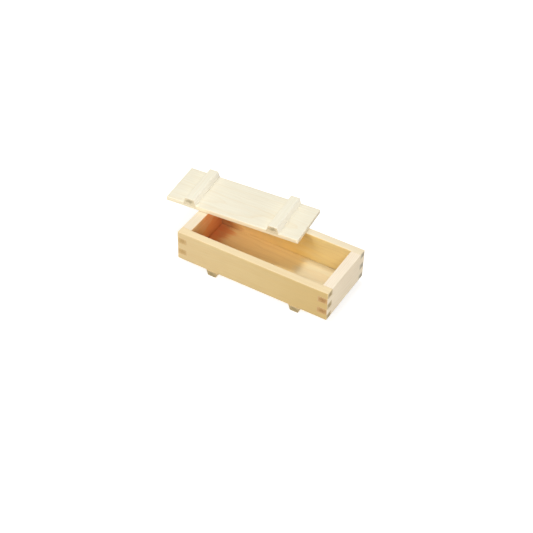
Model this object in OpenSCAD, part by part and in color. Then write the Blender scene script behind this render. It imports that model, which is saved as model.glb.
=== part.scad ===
// Wooden mould for pressed rice: a bottomless frame with finger-jointed corners stands round a
// loose base board on two cross battens, and a loose press lid with two cross battens lies
// askew on the frame's rim.
// Lengths in millimetres, angles in degrees. +X is along the length, +Y to the back, +Z up.
// The origin is the middle of the cavity's floor, on the base board's top face.

/* [Frame] */
// Outside length of the frame, end to end
frame_length = 240; // [200:1:320]
// Outside width of the frame, front to back
frame_width = 106.4; // [90:0.2:150]
// Height of the four walls
wall_height = 48.5; // [36:0.5:80]
// Thickness of the front and back walls
long_wall_thickness = 12.6; // [9:0.1:18]
// Thickness of the two end walls
end_wall_thickness = 15.3; // [9:0.1:20]
// Fingers in each corner joint, an odd number
finger_count = 5; // [3:2:9]

/* [Base] */
// Thickness of the base board
base_board_thickness = 9; // [8:0.5:14]
// Height of the cavity's floor above the frame's bottom edge
floor_rise = 4; // [2:0.5:6]
// Gap all round between the base board and the walls
base_clearance = 0.5; // [0.4:0.1:2]
// Width of the finer chamfer on the base board's edges
base_board_ease = 0.3; // [0.2:0.1:1]
// Height of the base battens' part below the board
foot_height = 4.2; // [3:0.1:12]
// Width of a base batten at its top, inside the board
base_batten_root_width = 18.3; // [16:0.1:26]
// Width of a base batten at its sole
base_batten_sole_width = 12; // [8:0.1:15]
// Left end of the base board to the middle of the left batten
base_batten_left_inset = 41; // [20:0.5:60]
// Right end of the base board to the middle of the right batten
base_batten_right_inset = 34.5; // [20:0.5:60]

/* [Press lid] */
// Thickness of the lid board
lid_board_thickness = 7; // [5:0.5:14]
// Gap at each end between the lid and the walls when it is pressed down inside them
lid_end_clearance = 0.8; // [0.5:0.1:3]
// Gap at the front and at the back between the lid and the walls then
lid_side_clearance = 2.5; // [0.5:0.1:4]
// Height of the lid battens above the board
lid_batten_rise = 9; // [5:0.5:20]
// Depth of the lid battens' grooves in the board
lid_groove_depth = 3; // [1.5:0.5:4]
// Width of a lid batten on top
lid_batten_top_width = 13.3; // [9:0.1:16]
// Width of a lid batten at its root, in the groove
lid_batten_root_width = 20.5; // [17:0.1:28]
// Left end of the lid board to the middle of the left batten
lid_batten_left_inset = 37.5; // [20:0.5:60]
// Right end of the lid board to the middle of the right batten
lid_batten_right_inset = 39.5; // [20:0.5:60]

/* [Where the lid lies] */
// Turn of the lid on the rim, seen from above
lid_turn = 4.7; // [0:0.1:10]
// How far the lid's middle lies to the left of the frame's middle
lid_shift_left = 71; // [40:1:90]
// How far the lid's middle lies behind the back wall's inner face
lid_shift_behind = 2.2; // [0.5:0.1:8]

/* [Edges] */
// Width of the small chamfer that eases each edge
edge_ease = 0.8; // [0.3:0.1:1.2]

/* [Hidden] */
// Heights
floor_z = 0;
frame_bottom_z = floor_z - floor_rise;
rim_z = frame_bottom_z + wall_height;
board_bottom_z = floor_z - base_board_thickness;
sole_z = board_bottom_z - foot_height;
base_batten_height = frame_bottom_z - sole_z;
lid_batten_height = lid_batten_rise + lid_groove_depth;
finger_height = wall_height / finger_count;

// Plan sizes
cavity_length = frame_length - 2 * end_wall_thickness;
cavity_width = frame_width - 2 * long_wall_thickness;
base_board_length = cavity_length - 2 * base_clearance;
base_board_width = cavity_width - 2 * base_clearance;
lid_length = cavity_length - 2 * lid_end_clearance;
lid_width = cavity_width - 2 * lid_side_clearance;
base_batten_left_x = -base_board_length / 2 + base_batten_left_inset;
base_batten_right_x = base_board_length / 2 - base_batten_right_inset;
lid_batten_left_x = -lid_length / 2 + lid_batten_left_inset;
lid_batten_right_x = lid_length / 2 - lid_batten_right_inset;

// How far a cutting shape runs past what it cuts
overrun = 1;

// Colours of the planed wood
frame_wood = "#F0DCB4";
base_wood = "#E9CD9C";
lid_wood = "#F4ECD2";

// A rectangle round the origin with its four corners chamfered
module eased_rectangle(width, height, e) {
    x = width / 2;
    y = height / 2;
    polygon([
        [-x + e, -y], [x - e, -y], [x, -y + e], [x, y - e],
        [x - e, y], [-x + e, y], [-x, y - e], [-x, -y + e]
    ]);
}

// Runs a profile drawn in X and Z along Y, over a length centred on the origin
module along_y(length) {
    rotate([90, 0, 0])
        linear_extrude(length, center = true)
            children();
}

// Runs a profile drawn in Y and Z along X, over a length centred on the origin
module along_x(length) {
    rotate([90, 0, 90])
        linear_extrude(length, center = true)
            children();
}

// A block centred on the origin with all twelve edges eased
module eased_block(length, width, height, ease) {
    intersection() {
        linear_extrude(height, center = true)
            eased_rectangle(length, width, ease);
        along_y(width)
            eased_rectangle(length, height, ease);
        along_x(length)
            eased_rectangle(width, height, ease);
    }
}

// The outline of the funnel that eases one mouth of the cavity, its wide side up
module mouth_profile(opening) {
    inner = opening / 2;
    outer = inner + edge_ease + overrun;
    polygon([[-inner, -edge_ease], [inner, -edge_ease], [outer, overrun], [-outer, overrun]]);
}

// The funnel itself, with its mouth in the plane z = 0
module mouth_easing() {
    intersection() {
        along_y(frame_width)
            mouth_profile(cavity_length);
        along_x(frame_length)
            mouth_profile(cavity_width);
    }
}

// Trims a wall blank to the frame's eased outer edges and eases both mouths of the cavity
module finish_wall() {
    difference() {
        intersection() {
            children();
            translate([0, 0, frame_bottom_z + wall_height / 2])
                eased_block(frame_length, frame_width, wall_height, edge_ease);
        }
        translate([0, 0, rim_z])
            mouth_easing();
        translate([0, 0, frame_bottom_z])
            mirror([0, 0, 1])
                mouth_easing();
    }
}

// The pockets that one joint's level leaves at all four corners of the frame
module corner_pockets(level) {
    pocket_length = end_wall_thickness + overrun;
    pocket_width = long_wall_thickness + overrun;
    for (side_x = [-1, 1])
        for (side_y = [-1, 1])
            translate([
                side_x * (frame_length / 2 - end_wall_thickness + pocket_length / 2),
                side_y * (frame_width / 2 - long_wall_thickness + pocket_width / 2),
                rim_z - (level + 0.5) * finger_height
            ])
                cube([pocket_length, pocket_width, finger_height], center = true);
}

// A long wall: its fingers are the joint's first, third and fifth levels from the top
module long_wall(side) {
    finish_wall()
        difference() {
            translate([
                0,
                side * (frame_width - long_wall_thickness) / 2,
                frame_bottom_z + wall_height / 2
            ])
                cube([frame_length, long_wall_thickness, wall_height], center = true);
            for (level = [1:2:finger_count - 1])
                corner_pockets(level);
        }
}

// An end wall: its fingers are the levels between
module end_wall(side) {
    finish_wall()
        difference() {
            translate([
                side * (frame_length - end_wall_thickness) / 2,
                0,
                frame_bottom_z + wall_height / 2
            ])
                cube([end_wall_thickness, frame_width, wall_height], center = true);
            for (level = [0:2:finger_count - 1])
                corner_pockets(level);
        }
}

// The dovetail section of a batten, its narrow face down at z = 0 and its root up
module batten_section(narrow, root, height) {
    slope = (root - narrow) / 2 / height;
    e = edge_ease;
    polygon([
        [-narrow / 2 + e, 0], [narrow / 2 - e, 0], [narrow / 2 + slope * e, e],
        [root / 2, height], [-root / 2, height], [-narrow / 2 - slope * e, e]
    ]);
}

// The end view of a batten: its narrow face's ends are eased
module batten_side(length, height) {
    y = length / 2;
    e = edge_ease;
    polygon([[-y + e, 0], [y - e, 0], [y, e], [y, height], [-y, height], [-y, e]]);
}

// A cross batten along Y, its narrow face down at z = 0
module batten(narrow, root, height, length) {
    intersection() {
        along_y(length)
            batten_section(narrow, root, height);
        along_x(root)
            batten_side(length, height);
    }
}

// Puts a base batten, or the groove for one, at a place along the base
module at_base_batten(x) {
    translate([x, 0, sole_z])
        children();
}

// Puts a lid batten, or the groove for one, at a place along the lid, narrow face up
module at_lid_batten(x) {
    translate([x, 0, lid_board_thickness + lid_batten_rise])
        mirror([0, 0, 1])
            children();
}

// Lays the lid's pieces, drawn with the board's underside at z = 0, on the frame's rim
module on_the_rim() {
    translate([-lid_shift_left, cavity_width / 2 + lid_shift_behind, rim_z])
        rotate([0, 0, lid_turn])
            children();
}

module front_wall() {
    color(frame_wood)
        long_wall(-1);
}

module back_wall() {
    color(frame_wood)
        long_wall(1);
}

module left_end_wall() {
    color(frame_wood)
        end_wall(-1);
}

module right_end_wall() {
    color(frame_wood)
        end_wall(1);
}

module base_batten_blank(length) {
    batten(base_batten_sole_width, base_batten_root_width, base_batten_height, length);
}

module base_board() {
    groove_length = base_board_width + 2 * (edge_ease + overrun);
    color(base_wood)
        difference() {
            translate([0, 0, floor_z - base_board_thickness / 2])
                eased_block(
                    base_board_length, base_board_width, base_board_thickness, base_board_ease
                );
            for (x = [base_batten_left_x, base_batten_right_x])
                at_base_batten(x)
                    base_batten_blank(groove_length);
        }
}

module base_batten_left() {
    color(base_wood)
        at_base_batten(base_batten_left_x)
            base_batten_blank(frame_width);
}

module base_batten_right() {
    color(base_wood)
        at_base_batten(base_batten_right_x)
            base_batten_blank(frame_width);
}

module lid_batten_blank(length) {
    batten(lid_batten_top_width, lid_batten_root_width, lid_batten_height, length);
}

module lid_board() {
    groove_length = lid_width + 2 * (edge_ease + overrun);
    color(lid_wood)
        on_the_rim()
            difference() {
                translate([0, 0, lid_board_thickness / 2])
                    eased_block(lid_length, lid_width, lid_board_thickness, edge_ease);
                for (x = [lid_batten_left_x, lid_batten_right_x])
                    at_lid_batten(x)
                        lid_batten_blank(groove_length);
            }
}

module lid_batten_left() {
    color(lid_wood)
        on_the_rim()
            at_lid_batten(lid_batten_left_x)
                lid_batten_blank(lid_width);
}

module lid_batten_right() {
    color(lid_wood)
        on_the_rim()
            at_lid_batten(lid_batten_right_x)
                lid_batten_blank(lid_width);
}

front_wall();
back_wall();
left_end_wall();
right_end_wall();
base_board();
base_batten_left();
base_batten_right();
lid_board();
lid_batten_left();
lid_batten_right();
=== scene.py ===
import math

import bpy
from mathutils import Matrix, Vector


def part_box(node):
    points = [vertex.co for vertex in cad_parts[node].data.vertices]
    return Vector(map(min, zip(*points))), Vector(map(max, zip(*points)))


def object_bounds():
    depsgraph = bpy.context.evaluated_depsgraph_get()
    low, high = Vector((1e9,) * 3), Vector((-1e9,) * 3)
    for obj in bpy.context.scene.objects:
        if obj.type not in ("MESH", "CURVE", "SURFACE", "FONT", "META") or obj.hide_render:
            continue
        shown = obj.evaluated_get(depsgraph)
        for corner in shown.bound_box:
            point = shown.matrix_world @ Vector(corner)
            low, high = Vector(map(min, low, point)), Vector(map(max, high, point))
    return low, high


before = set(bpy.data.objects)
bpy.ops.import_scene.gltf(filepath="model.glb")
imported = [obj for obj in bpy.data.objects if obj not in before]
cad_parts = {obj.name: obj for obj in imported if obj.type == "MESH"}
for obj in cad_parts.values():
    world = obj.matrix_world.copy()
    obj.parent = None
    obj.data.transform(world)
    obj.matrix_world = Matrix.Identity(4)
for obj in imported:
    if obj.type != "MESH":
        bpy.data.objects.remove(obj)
cad_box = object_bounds()

MM = 0.001
WHITE = (1.0, 1.0, 1.0)

# ---------------------------------------------------------------- camera
# Place in metres, the picture's right and up directions, lens and sensor in mm
CAMERA_PLACE = (0.65507, -1.18423, 1.21775)
CAMERA_RIGHT = (0.86063, 0.50848, 0.02773)
CAMERA_UP = (-0.35874, 0.56675, 0.74169)
CAMERA_LENS = 87.1
CAMERA_SENSOR = 36.0

# ---------------------------------------------------------------- light
SKY_STRENGTH = 0.24
BACKGROUND_STRENGTH = 1.0
# Place, size, power and colour of each lamp, all aimed at the middle of the box: metres, watts
LAMPS = {
    "key": ((-0.70, -1.20, 1.22), 0.42, 9.2, (1.0, 0.92, 0.80)),
    "low_left": ((-0.55, -1.50, 0.66), 0.36, 4.0, (1.0, 0.92, 0.80)),
    "top": ((-0.15, 0.23, 1.50), 0.34, 10.0, WHITE),
    "front_card": ((0.75, -1.15, 1.05), 0.50, 6.5, (1.0, 0.96, 0.92)),
    "low_card": ((1.50, -0.42, 0.17), 0.30, 8.0, WHITE),
}
LAMP_AIM = (0.0, 0.0, 0.02)
FLOOR_SIZE = 8.0
FLOOR_COLOUR = (0.66, 0.66, 0.66, 1.0)
# What the camera sees on top of the floor's own light, near the box and where the lamps fade
FLOOR_LIFT = 0.68
FLOOR_LIFT_FAR = 1.0
LIFT_NEAR = 0.35
LIFT_FAR = 1.3

# ---------------------------------------------------------------- edges
WELD_DISTANCE = 0.002 * MM
FLAT_ANGLE = math.radians(1)
EDGE_ROUND = 0.28 * MM
# The base board's own chamfers are finer
FINE_EDGE_ROUND = {"base_board": 0.12 * MM}
EDGE_SEGMENTS = 2
EDGE_ANGLE = math.radians(25)

# ---------------------------------------------------------------- colours of the wood
# Linear colours of each group of pieces: early wood on the sides, on top and on the faces round
# the cavity, which are lit and shaded copies of one wood that paint light and shade (paler on top,
# warmer and darker round the cavity), then late wood, and on the cut ends their early wood, late
# wood and a dark middle that is painted shade. A colour that drifts along the grain is a row of
# (mm from the piece's middle, colour).
FRONT_TONES = {
    "side": (
        (-120.0, (0.78, 0.62, 0.35, 1.0)),
        (0.0, (0.73, 0.57, 0.29, 1.0)),
        (120.0, (0.66, 0.49, 0.21, 1.0)),
    ),
    "top": (0.87, 0.73, 0.47, 1.0),
    "cavity": (0.93, 0.69, 0.33, 1.0),
    "late": (0.72, 0.50, 0.22, 1.0),
    "end": (0.66, 0.54, 0.33, 1.0),
    "end_late": (0.34, 0.24, 0.12, 1.0),
    "end_shade": (0.34, 0.25, 0.12, 1.0),
}
BACK_TONES = {
    "side": (0.91, 0.72, 0.42, 1.0),
    "top": (0.89, 0.81, 0.62, 1.0),
    # The face to the cavity carries painted shade: dark and red at the left end, where the lid and
    # the left end wall shade the corner, and darker under the lid than past its right end.
    "cavity": (
        (-104.0, (0.55, 0.25, 0.09, 1.0)),
        (-88.0, (0.66, 0.32, 0.12, 1.0)),
        (-68.0, (0.92, 0.68, 0.32, 1.0)),
        (20.0, (0.84, 0.60, 0.21, 1.0)),
        (60.0, (0.88, 0.71, 0.34, 1.0)),
        (104.0, (0.88, 0.71, 0.35, 1.0)),
    ),
    "late": (0.74, 0.53, 0.26, 1.0),
    "end": (0.70, 0.63, 0.48, 1.0),
    "end_late": (0.36, 0.30, 0.22, 1.0),
    "end_shade": (0.36, 0.32, 0.25, 1.0),
}
LEFT_END_TONES = {
    "side": (0.93, 0.80, 0.59, 1.0),
    "top": (0.86, 0.77, 0.60, 1.0),
    # The face to the cavity carries painted shade: redder and darker towards the back, under the
    # lid.
    "cavity": (
        (-40.0, (0.81, 0.56, 0.28, 1.0)),
        (-16.0, (0.77, 0.40, 0.15, 1.0)),
        (4.0, (0.82, 0.31, 0.10, 1.0)),
        (40.0, (0.76, 0.24, 0.07, 1.0)),
    ),
    "late": (0.76, 0.56, 0.32, 1.0),
    "end": (0.74, 0.54, 0.27, 1.0),
    "end_late": (0.39, 0.24, 0.10, 1.0),
    "end_shade": (0.56, 0.37, 0.15, 1.0),
}
RIGHT_END_TONES = {
    "side": (0.87, 0.76, 0.58, 1.0),
    "top": (0.95, 0.86, 0.71, 1.0),
    "cavity": (0.92, 0.72, 0.40, 1.0),
    "late": (0.76, 0.58, 0.36, 1.0),
    "end": (0.69, 0.45, 0.21, 1.0),
    "end_late": (0.34, 0.19, 0.08, 1.0),
    "end_shade": (0.43, 0.23, 0.08, 1.0),
}
BASE_TONES = {
    "side": (0.88, 0.68, 0.38, 1.0),
    "top": (0.94, 0.72, 0.38, 1.0),
    # The floor of the cavity carries painted light and shade: a dark red strip at the left end is
    # the painted shadow of the left end wall and the lid, and the paler wood at the right is a
    # painted pool of light past the lid's end.
    "cavity": (
        (-104.0, (0.84, 0.33, 0.13, 1.0)),
        (-88.0, (0.87, 0.41, 0.17, 1.0)),
        (-74.0, (0.97, 0.73, 0.35, 1.0)),
        (30.0, (0.96, 0.74, 0.35, 1.0)),
        (46.0, (0.81, 0.73, 0.49, 1.0)),
        (104.0, (0.81, 0.74, 0.53, 1.0)),
    ),
    "late": (0.70, 0.47, 0.21, 1.0),
    "end": (0.56, 0.45, 0.25, 1.0),
    "end_late": (0.30, 0.21, 0.11, 1.0),
    "end_shade": (0.40, 0.32, 0.17, 1.0),
}
LID_TONES = {
    # The lid's sides are paler than its top: painted light.
    "side": (0.98, 0.91, 0.71, 1.0),
    "top": (0.87, 0.84, 0.70, 1.0),
    "cavity": (0.92, 0.72, 0.42, 1.0),
    "late": (0.80, 0.68, 0.46, 1.0),
    "end": (0.92, 0.84, 0.66, 1.0),
    "end_late": (0.62, 0.50, 0.32, 1.0),
    "end_shade": (0.86, 0.78, 0.60, 1.0),
}
LID_BATTEN_TONES = {
    # The battens' sides are paler than their tops: painted light.
    "side": (0.96, 0.92, 0.80, 1.0),
    "top": (0.88, 0.86, 0.73, 1.0),
    "late": (0.82, 0.71, 0.50, 1.0),
    "end": (0.88, 0.80, 0.60, 1.0),
    "end_late": (0.48, 0.39, 0.24, 1.0),
    "end_shade": (0.46, 0.40, 0.26, 1.0),
}
# Paler wood along the edges, partly rubbed wear and partly a painted highlight, and a slightly
# darker tint that mottles the flat faces
EDGE_WEAR_AND_HIGHLIGHT_TONE = (0.95, 0.88, 0.70, 1.0)
MOTTLE_TINT = (0.93, 0.90, 0.86, 1.0)

# ---------------------------------------------------------------- grain
# Noise patterns: waves per mm along the grain, across it and up, step of the seed, detail and
# roughness. The last two bend and ripple the growth rings.
PATTERNS = {
    "fibre": ((0.045, 1.9, 1.9), 7.0, 3.0, 0.6),
    "streak": ((0.006, 0.16, 0.16), 11.0, 2.0, 0.5),
    "mottle": ((0.030, 0.055, 0.055), 17.0, 3.0, 0.5),
    "pores": ((0.6, 5.5, 5.5), 23.0, 2.0, 0.5),
    "torn": ((0.0, 0.32, 0.32), 29.0, 4.0, 0.7),
    "bend": ((0.010, 0.035, 0.035), 0.0, 1.5, 0.5),
    "ripple": ((0.05, 0.22, 0.22), 3.0, 1.0, 0.5),
}
# The stretch of a pattern's values, which run from 0 to 1, that counts: in most places, for the
# share of pores and worn fibres, for the width of the wear, for streaks and for mottling
MOST = (0.3, 0.7)
MIDDLE = (0.35, 0.65)
WEAR_STRETCH = (0.35, 0.70)
STREAK_STRETCH = (0.35, 0.75)
MOTTLE_STRETCH = (0.40, 0.80)
# Cosines between which a face starts to count as a cut end, or as facing some side, and fully does
END_FACING = (0.62, 0.86)
SIDE_FACING = (0.6, 0.9)
# Span in mm within which the noise moves the rings, and their taper per mm along the grain
BEND_REACH = 9.0
RIPPLE_REACH = 0.9
RING_TAPER = 0.022
# The darkness through one ring, from its inside out, and the weight of the faintest ring
RING_PROFILE = ((0.0, 0.10), (0.35, 0.0), (0.70, 0.30), (0.90, 1.0), (1.0, 0.12))
FAINTEST_RING = 0.35
# How far, in mm, each pattern shifts the tones either way along the grain
TONE_WANDER = {"mottle": 5.0, "streak": 7.0, "fibre": 2.5}
# Shares of the late wood's colour, of a streak's, of the mottling and of the painted shade in
# the middle of the cut ends
LATE_ON_FLAT = 0.42
LATE_ON_CUT = 0.55
STREAK_SHARE = 0.22
MOTTLE_SHARE = 0.30
END_SHADE_SHARE = 0.85
# Darkest and brightest that the fibres and the pores leave the colour
FIBRE_LEVELS = (0.94, 1.03)
PORE_LEVELS = (0.80, 1.08)
# Where the painted shade in the middle of a cut end begins and is full, as shares of the end's
# half size, and its torn rim
END_SHADE_RIM = 1.10
END_SHADE_FULL = 0.15
END_SHADE_TEAR = 0.45
# Rubbed edges with their painted highlight: least and most width in mm, weight on the faintest
# fibres, share of the pale tone
WEAR_WIDTHS = (0.5, 1.7)
FAINTEST_WEAR = 0.35
WEAR_AND_HIGHLIGHT_SHARE = 0.30
# Roughness of the fibres, and what late wood, rubbed edges and cut ends add to it
FIBRE_ROUGHNESS = (0.52, 0.66)
LATE_ROUGHNESS = -0.10
WEAR_ROUGHNESS = -0.08
CUT_ROUGHNESS = 0.16
# Heights of the relief: late wood, fibres and pores, all times the bump's distance
LATE_RELIEF = 0.45
FIBRE_RELIEF = 0.7
PORE_RELIEF = 0.8
BUMP_STRENGTH = 0.45
BUMP_DISTANCE = 0.10 * MM
WOOD_IOR = 1.46
WOOD_SPECULAR = 0.35

# ---------------------------------------------------------------- pieces
LID_TURN = 4.7
ALONG_X = 0.0
ALONG_Y = 90.0
FINGERS = 5
# What shows of a batten's tapered end, which sizes the painted shade in its middle: mean half
# width, half height, and how far its middle is above the batten's own, in mm
BASE_BATTEN_CUT = (7.6, 4.6, 0.0)
LID_BATTEN_CUT = (8.0, 4.5, 1.5)
# Per piece: tones, turn of the grain seen from above in degrees, place of the growth rings'
# centre across the grain and up in mm, and ring spacing in mm. Walls and boards also have the
# side that faces the cavity, walls the levels of their finger joint, and battens what shows of
# their tapered ends.
PIECES = {
    "front_wall": {
        "tones": FRONT_TONES, "turn": ALONG_X, "pith": (-58.0, 34.0), "spacing": 2.3,
        "cavity_side": (0, 1, 0), "fingers": FINGERS,
    },
    "back_wall": {
        "tones": BACK_TONES, "turn": ALONG_X, "pith": (64.0, -22.0), "spacing": 2.1,
        "cavity_side": (0, -1, 0), "fingers": FINGERS,
    },
    "left_end_wall": {
        "tones": LEFT_END_TONES, "turn": ALONG_Y, "pith": (-70.0, 12.0), "spacing": 1.9,
        "cavity_side": (1, 0, 0), "fingers": FINGERS,
    },
    "right_end_wall": {
        "tones": RIGHT_END_TONES, "turn": ALONG_Y, "pith": (62.0, -30.0), "spacing": 2.2,
        "cavity_side": (-1, 0, 0), "fingers": FINGERS,
    },
    "base_board": {
        "tones": BASE_TONES, "turn": ALONG_X, "pith": (12.0, -46.0), "spacing": 2.4,
        "cavity_side": (0, 0, 1),
    },
    "base_batten_left": {
        "tones": BASE_TONES, "turn": ALONG_Y, "pith": (26.0, 30.0), "spacing": 1.7,
        "cut": BASE_BATTEN_CUT,
    },
    "base_batten_right": {
        "tones": BASE_TONES, "turn": ALONG_Y, "pith": (-22.0, 34.0), "spacing": 1.8,
        "cut": BASE_BATTEN_CUT,
    },
    "lid_board": {
        "tones": LID_TONES, "turn": ALONG_X + LID_TURN, "pith": (-14.0, -52.0), "spacing": 2.2,
        "cavity_side": (0, 0, -1),
    },
    "lid_batten_left": {
        "tones": LID_BATTEN_TONES, "turn": ALONG_Y + LID_TURN, "pith": (24.0, -36.0),
        "spacing": 1.8, "cut": LID_BATTEN_CUT,
    },
    "lid_batten_right": {
        "tones": LID_BATTEN_TONES, "turn": ALONG_Y + LID_TURN, "pith": (-30.0, -28.0),
        "spacing": 1.9, "cut": LID_BATTEN_CUT,
    },
}
FIRST_SEED = 4.0
SEED_STEP = 10.0


def piece_middle(name):
    """The middle of a CAD node's box, in metres."""
    low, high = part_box(name)
    return (low + high) / 2


def piece_size(name):
    """A CAD node's length along the grain, width across it and height, in mm."""
    to_grain = Matrix.Rotation(-math.radians(PIECES[name]["turn"]), 3, "Z")
    points = [to_grain @ vertex.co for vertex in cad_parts[name].data.vertices]
    return tuple((max(axis) - min(axis)) / MM for axis in zip(*points))


class Graph:
    """Short ways to add and join the nodes of one material."""

    def __init__(self, tree):
        self.tree = tree
        tree.nodes.clear()

    def add(self, kind, **settings):
        """A new node with these settings."""
        node = self.tree.nodes.new(kind)
        for key, value in settings.items():
            setattr(node, key, value)
        return node

    def feed(self, socket, value):
        """Joins the socket to another one, or sets it to a plain value."""
        if isinstance(value, bpy.types.NodeSocket):
            self.tree.links.new(value, socket)
        else:
            socket.default_value = value

    def sum(self, operation, *values, clamp=False):
        """The result of a sum with plain numbers."""
        node = self.add("ShaderNodeMath", operation=operation, use_clamp=clamp)
        for socket, value in zip(node.inputs, values):
            self.feed(socket, value)
        return node.outputs[0]

    def vector(self, operation, *values):
        """The result of a sum with vectors."""
        node = self.add("ShaderNodeVectorMath", operation=operation)
        for socket, value in zip(node.inputs, values):
            self.feed(socket, value)
        scalar = operation in ("LENGTH", "DOT_PRODUCT", "DISTANCE")
        return node.outputs["Value" if scalar else "Vector"]

    def split(self, vector):
        """The X, Y and Z of a vector."""
        node = self.add("ShaderNodeSeparateXYZ")
        self.feed(node.inputs[0], vector)
        return node.outputs

    def pattern(self, kind, at, seed):
        """The noise node of one of the grain's patterns, at a point in mm."""
        waves, step, detail, roughness = PATTERNS[kind]
        node = self.add("ShaderNodeTexNoise", noise_dimensions="4D")
        self.feed(node.inputs["Vector"], self.vector("MULTIPLY", at, waves))
        node.inputs["W"].default_value = seed + step
        node.inputs["Scale"].default_value = 1.0
        node.inputs["Detail"].default_value = detail
        node.inputs["Roughness"].default_value = roughness
        return node

    def map(self, value, low, high, to_low=0.0, to_high=1.0, smooth=False):
        """The value moved from one range to another and kept inside it."""
        node = self.add("ShaderNodeMapRange")
        node.interpolation_type = "SMOOTHSTEP" if smooth else "LINEAR"
        for socket, given in zip(node.inputs, (value, low, high, to_low, to_high)):
            self.feed(socket, given)
        return node.outputs[0]

    def mix(self, factor, a, b, blend="MIX"):
        """Colour a with that share of colour b."""
        node = self.add("ShaderNodeMix", data_type="RGBA", blend_type=blend)
        self.feed(node.inputs["Factor"], factor)
        self.feed(node.inputs["A"], a)
        self.feed(node.inputs["B"], b)
        return node.outputs["Result"]

    def ramp(self, place, stops):
        """The colour at a place from 0 to 1 on a ramp of (place, colour) stops."""
        node = self.add("ShaderNodeValToRGB")
        elements = node.color_ramp.elements
        while len(elements) < len(stops):
            elements.new(0.5)
        for element, (position, colour) in zip(elements, stops):
            element.position = position
            element.color = colour
        self.feed(node.inputs["Fac"], place)
        return node.outputs["Color"]


def tone_along(g, place, tone):
    """A plain colour as it is, or a ramp through a row of (place in mm, colour)."""
    if not isinstance(tone[0], tuple):
        return tone
    first, last = tone[0][0], tone[-1][0]
    stops = [((stop - first) / (last - first), colour) for stop, colour in tone]
    return g.ramp(g.map(place, first, last), stops)


def piece_point(g, middle, turn):
    """The point in the piece's own frame, mm from its middle and X along the grain."""
    coordinates = g.add("ShaderNodeTexCoord")
    place = g.add("ShaderNodeMapping", vector_type="TEXTURE")
    g.feed(place.inputs["Vector"], coordinates.outputs["Object"])
    place.inputs["Location"].default_value = middle
    place.inputs["Rotation"].default_value = (0.0, 0.0, math.radians(turn))
    place.inputs["Scale"].default_value = (MM, MM, MM)
    return place.outputs[0], coordinates.outputs["Normal"]


def shift(g, kind, point, seed):
    """A vector of a pattern's noise, from -0.5 to 0.5 each way."""
    noise = g.pattern(kind, point, seed).outputs["Color"]
    return g.vector("SUBTRACT", noise, (0.5, 0.5, 0.5))


def growth_rings(g, point, pith, spacing, seed):
    """Late wood from 0 to 1: thin dark lines round the pith, wavy along the grain."""
    bend = shift(g, "bend", point, seed)
    ripple = shift(g, "ripple", point, seed)
    moved = g.vector("MULTIPLY_ADD", bend, (BEND_REACH,) * 3, point)
    moved = g.vector("MULTIPLY_ADD", ripple, (RIPPLE_REACH,) * 3, moved)
    x, y, z = g.split(moved)
    away_y = g.sum("SUBTRACT", y, pith[0])
    away_z = g.sum("SUBTRACT", z, pith[1])
    squared = g.sum("MULTIPLY_ADD", away_y, away_y, g.sum("MULTIPLY", away_z, away_z))
    tapered = g.sum("MULTIPLY_ADD", x, RING_TAPER, g.sum("SQRT", squared))
    turns = g.sum("DIVIDE", tapered, spacing)
    stops = [(place, (level, level, level, 1.0)) for place, level in RING_PROFILE]
    line = g.ramp(g.sum("FRACT", turns), stops)
    which = g.add("ShaderNodeTexWhiteNoise", noise_dimensions="1D")
    g.feed(which.inputs["W"], g.sum("FLOOR", turns))
    weight = g.map(which.outputs["Value"], 0.0, 1.0, FAINTEST_RING, 1.0)
    return g.sum("MULTIPLY", line, weight)


def end_grain(g, normal, turn):
    """1 on the faces that cut across the grain, 0 on the others."""
    along = (math.cos(math.radians(turn)), math.sin(math.radians(turn)), 0.0)
    cosine = g.sum("ABSOLUTE", g.vector("DOT_PRODUCT", normal, along))
    return g.map(cosine, *END_FACING, smooth=True)


def facing(g, normal, side):
    """1 on the faces that look towards that side, 0 on the others."""
    return g.map(g.vector("DOT_PRODUCT", normal, side), *SIDE_FACING)


def edge_distance(g, point, size):
    """How far a point on the piece's surface is from its nearest edge, in mm."""
    half = tuple(length / 2 for length in size)
    a, b, c = g.split(g.vector("SUBTRACT", half, g.vector("ABSOLUTE", point)))
    inner = g.sum("MINIMUM", g.sum("MAXIMUM", a, b), c)
    return g.sum("MAXIMUM", g.sum("MINIMUM", a, b), inner)


def read_grain(g, name, seed):
    """The point, the normal and the patterns that a piece's colour, gloss and relief share."""
    facts = PIECES[name]
    point, normal = piece_point(g, piece_middle(name), facts["turn"])
    grain = {"point": point, "normal": normal}
    grain["late"] = growth_rings(g, point, facts["pith"], facts["spacing"], seed)
    grain["end"] = end_grain(g, normal, facts["turn"])
    for kind in ("fibre", "streak", "mottle", "pores", "torn"):
        grain[kind] = g.pattern(kind, point, seed).outputs["Fac"]
    return grain


def worn_and_highlit_edges(g, grain, size):
    """1 on the rubbed edges, which also carry a painted highlight, 0 away from them."""
    edge = edge_distance(g, grain["point"], size)
    width = g.map(grain["mottle"], *WEAR_STRETCH, *WEAR_WIDTHS)
    wear_and_highlight = g.sum("SUBTRACT", 1.0, g.map(edge, 0.0, width, smooth=True))
    return g.sum("MULTIPLY", wear_and_highlight, g.map(grain["fibre"], *MIDDLE, FAINTEST_WEAR, 1.0))


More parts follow.
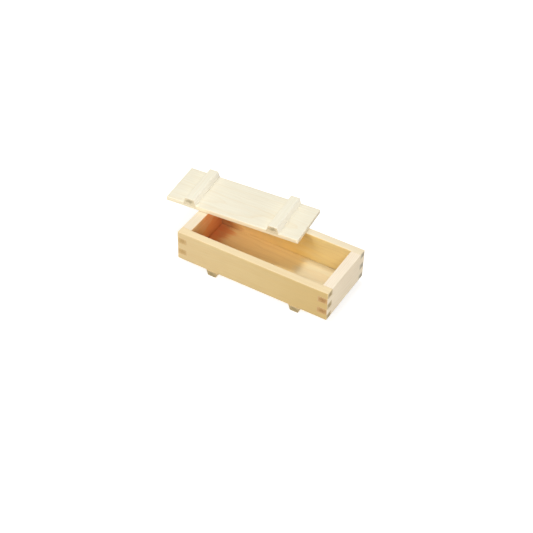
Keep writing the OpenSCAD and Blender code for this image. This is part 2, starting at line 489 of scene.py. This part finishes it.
def early_wood_painted_light_and_shade(g, grain, tones, cavity_side):
    """The early wood's colour on the sides, on top and on the face to the cavity: lit and shaded
    copies with painted light and shade, and painted shadows and light along the cavity faces.
    """
    place = g.split(grain["point"])["X"]
    for kind, reach in TONE_WANDER.items():
        place = g.sum("ADD", place, g.map(grain[kind], *MOST, -reach, reach))
    side = tone_along(g, place, tones["side"])
    top = tone_along(g, place, tones["top"])
    # Painted light and shade: paler tops and warmer, darker faces round the cavity.
    early = g.mix(facing(g, grain["normal"], (0, 0, 1)), side, top)
    if cavity_side:
        inner = tone_along(g, place, tones["cavity"])
        early = g.mix(facing(g, grain["normal"], cavity_side), early, inner)
    return early


def flat_colour(g, grain, tones, cavity_side):
    """The colour of the faces that run with the grain."""
    flat = early_wood_painted_light_and_shade(g, grain, tones, cavity_side)
    flat = g.mix(g.sum("MULTIPLY", grain["late"], LATE_ON_FLAT), flat, tones["late"])
    streaked = g.map(grain["streak"], *STREAK_STRETCH, 0.0, STREAK_SHARE)
    flat = g.mix(streaked, flat, tones["late"])
    mottled = g.map(grain["mottle"], *MOTTLE_STRETCH, 0.0, MOTTLE_SHARE)
    flat = g.mix(mottled, flat, MOTTLE_TINT, "MULTIPLY")
    return g.mix(1.0, flat, g.map(grain["fibre"], *MOST, *FIBRE_LEVELS), "MULTIPLY")


def painted_end_shade_mask(g, grain, facts, size):
    """1 in the middle of a cut end or of each finger's end, 0 near its edges, with a torn rim:
    where shade is painted.
    """
    level = size[2] / facts.get("fingers", 1)
    half_width, half_height, lift = facts.get("cut", (size[1] / 2, level / 2, 0.0))
    x, y, z = g.split(grain["point"])
    counted = g.sum("DIVIDE", g.sum("ADD", z, size[2] / 2), level)
    folded = g.sum("SUBTRACT", g.sum("FRACT", counted), 0.5 + lift / level)
    across = g.sum("DIVIDE", y, half_width)
    up = g.sum("MULTIPLY", folded, level / half_height)
    squared = g.sum("MULTIPLY_ADD", across, across, g.sum("MULTIPLY", up, up))
    tear = g.map(grain["torn"], *MOST, -END_SHADE_TEAR, END_SHADE_TEAR)
    reach = g.sum("ADD", g.sum("SQRT", squared), tear)
    return g.map(reach, END_SHADE_RIM, END_SHADE_FULL, smooth=True)


def cut_colour(g, grain, facts, size):
    """The colour of the ends that are cut across the grain."""
    tones = facts["tones"]
    # Painted shade: a dark middle on each cut end, over the end grain's own darker tone.
    end_shade = g.sum("MULTIPLY", painted_end_shade_mask(g, grain, facts, size), END_SHADE_SHARE)
    cut = g.mix(end_shade, tones["end"], tones["end_shade"])
    cut = g.mix(g.sum("MULTIPLY", grain["late"], LATE_ON_CUT), cut, tones["end_late"])
    return g.mix(1.0, cut, g.map(grain["pores"], *MIDDLE, *PORE_LEVELS), "MULTIPLY")


def roughness(g, grain, wear_and_highlight):
    """Smoother on late wood and rubbed edges, rougher on cut ends."""
    rough = g.map(grain["fibre"], *MOST, *FIBRE_ROUGHNESS)
    rough = g.sum("MULTIPLY_ADD", grain["late"], LATE_ROUGHNESS, rough)
    rough = g.sum("MULTIPLY_ADD", wear_and_highlight, WEAR_ROUGHNESS, rough)
    return g.sum("MULTIPLY_ADD", grain["end"], CUT_ROUGHNESS, rough, clamp=True)


def relief(g, grain):
    """The normal over raised late wood and fibres, and over the pores of the cut ends."""
    height = g.sum("MULTIPLY", grain["fibre"], FIBRE_RELIEF)
    height = g.sum("MULTIPLY_ADD", grain["late"], LATE_RELIEF, height)
    pores = g.sum("MULTIPLY", grain["end"], grain["pores"])
    height = g.sum("MULTIPLY_ADD", pores, PORE_RELIEF, height)
    bump = g.add("ShaderNodeBump")
    bump.inputs["Strength"].default_value = BUMP_STRENGTH
    bump.inputs["Distance"].default_value = BUMP_DISTANCE
    g.feed(bump.inputs["Height"], height)
    return bump.outputs[0]


def wood(name, seed):
    """The planed softwood of one piece."""
    facts = PIECES[name]
    size = piece_size(name)
    material = bpy.data.materials.new(name + "_wood")
    material.use_nodes = True
    g = Graph(material.node_tree)
    grain = read_grain(g, name, seed)
    wear_and_highlight = worn_and_highlit_edges(g, grain, size)
    flat = flat_colour(g, grain, facts["tones"], facts.get("cavity_side"))
    colour = g.mix(grain["end"], flat, cut_colour(g, grain, facts, size))
    # Pale edges: rubbed wear and a painted highlight.
    colour = g.mix(g.sum("MULTIPLY", wear_and_highlight, WEAR_AND_HIGHLIGHT_SHARE), colour, EDGE_WEAR_AND_HIGHLIGHT_TONE)

    shader = g.add("ShaderNodeBsdfPrincipled")
    shader.inputs["IOR"].default_value = WOOD_IOR
    shader.inputs["Specular IOR Level"].default_value = WOOD_SPECULAR
    g.feed(shader.inputs["Base Color"], colour)
    g.feed(shader.inputs["Roughness"], roughness(g, grain, wear_and_highlight))
    g.feed(shader.inputs["Normal"], relief(g, grain))
    output = g.add("ShaderNodeOutputMaterial")
    g.feed(output.inputs["Surface"], shader.outputs[0])
    return material


def soften_edges(piece):
    """Rounds the edges a hair, which also draws the joints' fine lines."""
    weld = piece.modifiers.new("weld", "WELD")
    weld.merge_threshold = WELD_DISTANCE
    merge = piece.modifiers.new("merge", "DECIMATE")
    merge.decimate_type = "DISSOLVE"
    merge.angle_limit = FLAT_ANGLE
    bevel = piece.modifiers.new("round", "BEVEL")
    bevel.width = FINE_EDGE_ROUND.get(piece.name, EDGE_ROUND)
    bevel.segments = EDGE_SEGMENTS
    bevel.limit_method = "ANGLE"
    bevel.angle_limit = EDGE_ANGLE
    close = piece.modifiers.new("close", "WELD")
    close.merge_threshold = WELD_DISTANCE
    normals = piece.modifiers.new("normals", "WEIGHTED_NORMAL")
    normals.keep_sharp = False


def dress_pieces():
    """Gives every CAD piece its wood and its softened edges."""
    for count, name in enumerate(PIECES):
        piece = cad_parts[name]
        piece.data.materials.clear()
        piece.data.materials.append(wood(name, FIRST_SEED + SEED_STEP * count))
        for face in piece.data.polygons:
            face.use_smooth = True
        soften_edges(piece)


def make_camera():
    """The camera that sees the box as it was photographed."""
    data = bpy.data.cameras.new("camera")
    data.lens = CAMERA_LENS
    data.sensor_width = CAMERA_SENSOR
    camera = bpy.data.objects.new("camera", data)
    right = Vector(CAMERA_RIGHT).normalized()
    up = Vector(CAMERA_UP)
    up = (up - right * up.dot(right)).normalized()
    back = right.cross(up)
    turn = Matrix((right, up, back)).transposed()
    camera.matrix_world = Matrix.Translation(CAMERA_PLACE) @ turn.to_4x4()
    bpy.context.scene.collection.objects.link(camera)
    bpy.context.scene.camera = camera


def camera_ray(g):
    """1 for what the camera sees directly or through a reflection, 0 for light on the object."""
    path = g.add("ShaderNodeLightPath")
    seen = g.sum("MAXIMUM", path.outputs["Is Camera Ray"], path.outputs["Is Glossy Ray"])
    return g.sum("MAXIMUM", seen, path.outputs["Is Transmission Ray"])


def make_world():
    """A dim sky for the light and a white backdrop for the camera."""
    world = bpy.data.worlds.new("studio")
    world.use_nodes = True
    g = Graph(world.node_tree)
    strength = g.map(camera_ray(g), 0.0, 1.0, SKY_STRENGTH, BACKGROUND_STRENGTH)
    background = g.add("ShaderNodeBackground")
    background.inputs["Color"].default_value = (*WHITE, 1.0)
    g.feed(background.inputs["Strength"], strength)
    output = g.add("ShaderNodeOutputWorld")
    g.feed(output.inputs["Surface"], background.outputs[0])
    bpy.context.scene.world = world


def make_lamps():
    """Square lamps round the box, which the camera doesn't see."""
    for name, (place, size, power, colour) in LAMPS.items():
        data = bpy.data.lights.new(name, "AREA")
        data.shape = "SQUARE"
        data.size = size
        data.energy = power
        data.color = colour
        lamp = bpy.data.objects.new(name, data)
        lamp.location = place
        lamp.visible_camera = False
        lamp.rotation_mode = "QUATERNION"
        lamp.rotation_quaternion = (Vector(LAMP_AIM) - Vector(place)).to_track_quat("-Z", "Y")
        bpy.context.scene.collection.objects.link(lamp)


def floor_material():
    """White paper that the camera sees a little brighter than it lights the object."""
    material = bpy.data.materials.new("white_floor")
    material.use_nodes = True
    g = Graph(material.node_tree)
    paper = g.add("ShaderNodeBsdfDiffuse")
    paper.inputs["Color"].default_value = FLOOR_COLOUR
    lift = g.add("ShaderNodeEmission")
    path = g.add("ShaderNodeLightPath")
    place = g.add("ShaderNodeTexCoord").outputs["Object"]
    away = g.vector("LENGTH", place)
    level = g.map(away, LIFT_NEAR, LIFT_FAR, FLOOR_LIFT, FLOOR_LIFT_FAR)
    g.feed(lift.inputs["Strength"], g.sum("MULTIPLY", path.outputs["Is Camera Ray"], level))
    both = g.add("ShaderNodeAddShader")
    g.feed(both.inputs[0], paper.outputs[0])
    g.feed(both.inputs[1], lift.outputs[0])
    output = g.add("ShaderNodeOutputMaterial")
    g.feed(output.inputs["Surface"], both.outputs[0])
    return material


def make_floor():
    """A square of paper under the base's battens."""
    half = FLOOR_SIZE / 2
    level = cad_box[0].z
    mesh = bpy.data.meshes.new("floor")
    outline = ((-half, -half), (half, -half), (half, half), (-half, half))
    mesh.from_pydata([(x, y, level) for x, y in outline], [], [(0, 1, 2, 3)])
    mesh.materials.append(floor_material())
    floor = bpy.data.objects.new("floor", mesh)
    bpy.context.scene.collection.objects.link(floor)


dress_pieces()
make_camera()
make_world()
make_lamps()
make_floor()
bpy.context.scene.view_settings.view_transform = "Standard"
